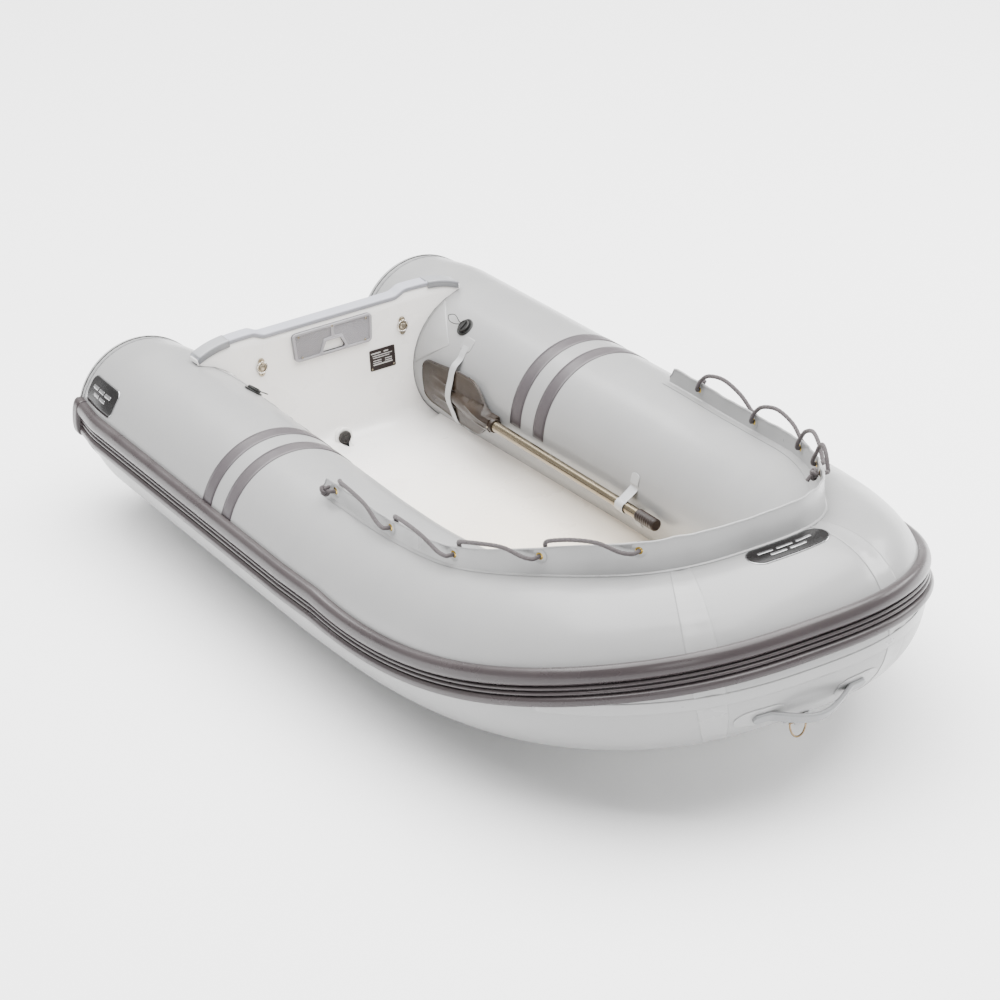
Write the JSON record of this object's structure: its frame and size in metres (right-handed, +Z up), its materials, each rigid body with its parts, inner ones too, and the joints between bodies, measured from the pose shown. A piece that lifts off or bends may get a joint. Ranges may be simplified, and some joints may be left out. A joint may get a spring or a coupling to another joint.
{
  "type": "rigid inflatable boat tender",
  "caption": "Small tender with a glassfibre hull and liner inside a horseshoe inflatable collar, with transom motor pad, stowed oars, lifelines, valves and a bow towing ring.",
  "frame": {"origin": "on the ground under the middle of the boat's length and beam", "axes": "+X towards the bow, +Y to port, +Z up"},
  "size_m": [2.7162, 1.4032, 0.7006],
  "materials": {
    "tube_fabric": "satin coated fabric",
    "flap_fabric": "satin coated fabric",
    "strap_fabric": "coated webbing",
    "strake_rubber": "satin extruded rubber",
    "badge_black": "gloss printed label",
    "glassfibre": "gelcoat",
    "liner_gelcoat": "gelcoat",
    "trim_grey": "extruded trim",
    "pad_plastic": "textured moulding",
    "brass": "polished",
    "rope": "braided polyester",
    "valve_black": "moulded",
    "black_rubber": "moulded",
    "stainless": "polished stainless",
    "oar_plastic": "satin moulding",
    "oar_metal": "anodised",
    "grip_brown": "moulded"
  },
  "bodies": {
    "boat": {"badge_bow": "badge_black", "badge_port": "badge_black", "badge_starboard": "badge_black", "baffle_port": "tube_fabric", "baffle_starboard": "tube_fabric", "blade_strap_port": "strap_fabric", "blade_strap_starboard": "strap_fabric", "bow_handle": "strap_fabric", "builder_plate": "badge_black", "deck_liner": "liner_gelcoat", "drain_socket": "liner_gelcoat", "grommet_port_1": "brass", "grommet_port_2": "brass", "grommet_port_3": "brass", "grommet_port_4": "brass", "grommet_port_5": "brass", "grommet_starboard_1": "brass", "grommet_starboard_2": "brass", "grommet_starboard_3": "brass", "grommet_starboard_4": "brass", "grommet_starboard_5": "brass", "hull_shell": "glassfibre", "lifeline_flap": "flap_fabric", "lifeline_port": "rope", "lifeline_starboard": "rope", "motor_pad": "pad_plastic", "pad_eye_base_port": "stainless", "pad_eye_base_starboard": "stainless", "rub_strake": "strake_rubber", "shaft_clip_port": "strap_fabric", "shaft_clip_starboard": "strap_fabric", "stern_cone_port": "tube_fabric", "stern_cone_starboard": "tube_fabric", "stripe_aft_port": "strake_rubber", "stripe_aft_starboard": "strake_rubber", "stripe_fore_port": "strake_rubber", "stripe_fore_starboard": "strake_rubber", "tow_patch": "strap_fabric", "transom_board": "glassfibre", "transom_capping": "trim_grey", "tube_bow": "tube_fabric", "tube_port": "tube_fabric", "tube_starboard": "tube_fabric", "valve_body_bow": "valve_black", "valve_body_port": "valve_black", "valve_body_starboard": "valve_black"},
    "oar_port": {"oar_blade_port": "oar_plastic", "oar_shaft_port": "oar_metal", "oar_grip_port": "grip_brown"},
    "oar_starboard": {"oar_blade_starboard": "oar_plastic", "oar_shaft_starboard": "oar_metal", "oar_grip_starboard": "grip_brown"},
    "tow_ring": {"tow_ring": "stainless"},
    "pad_eye_ring_port": {"pad_eye_ring_port": "stainless"},
    "pad_eye_ring_starboard": {"pad_eye_ring_starboard": "stainless"},
    "valve_cap_port": {"valve_cap_port": "valve_black"},
    "valve_cap_starboard": {"valve_cap_starboard": "valve_black"},
    "valve_cap_bow": {"valve_cap_bow": "valve_black"},
    "drain_plug": {"drain_plug": "black_rubber"}
  },
  "joints": [
    {"name": "oar_slide_starboard", "type": "slide", "parent": "boat", "child": "oar_starboard", "axis": [0.9999, -0.0129, 0], "range_m": [0, 0.1]},
    {"name": "pad_eye_hinge_starboard", "type": "hinge", "parent": "boat", "child": "pad_eye_ring_starboard", "pos_m": [-0.95998, -0.22, 0.44], "axis": [0, -1, 0], "range_deg": [0, 120]},
    {"name": "valve_turn_starboard", "type": "hinge", "parent": "boat", "child": "valve_cap_starboard", "pos_m": [-0.80663, -0.32955, 0.44154], "axis": [0.0183, 0.6154, 0.788], "range_deg": [0, 90]},
    {"name": "oar_slide_port", "type": "slide", "parent": "boat", "child": "oar_port", "axis": [0.9999, 0.0129, 0], "range_m": [0, 0.1]},
    {"name": "pad_eye_hinge_port", "type": "hinge", "parent": "boat", "child": "pad_eye_ring_port", "pos_m": [-0.95998, 0.22, 0.44], "axis": [0, -1, 0], "range_deg": [0, 120]},
    {"name": "valve_turn_port", "type": "hinge", "parent": "boat", "child": "valve_cap_port", "pos_m": [-0.80663, 0.32955, 0.44154], "axis": [0.0183, -0.6154, 0.788], "range_deg": [0, 90]},
    {"name": "valve_turn_bow", "type": "hinge", "parent": "boat", "child": "valve_cap_bow", "pos_m": [0.94322, 0, 0.513], "axis": [-0.866, 0, 0.5], "range_deg": [0, 90]},
    {"name": "tow_ring_hinge", "type": "hinge", "parent": "boat", "child": "tow_ring", "pos_m": [1.25191, 0, 0.22154], "axis": [0, -1, 0], "range_deg": [-40, 95]},
    {"name": "drain_plug_pull", "type": "slide", "parent": "boat", "child": "drain_plug", "axis": [1, 0, 0], "range_m": [0, 0.028]}
  ]
}
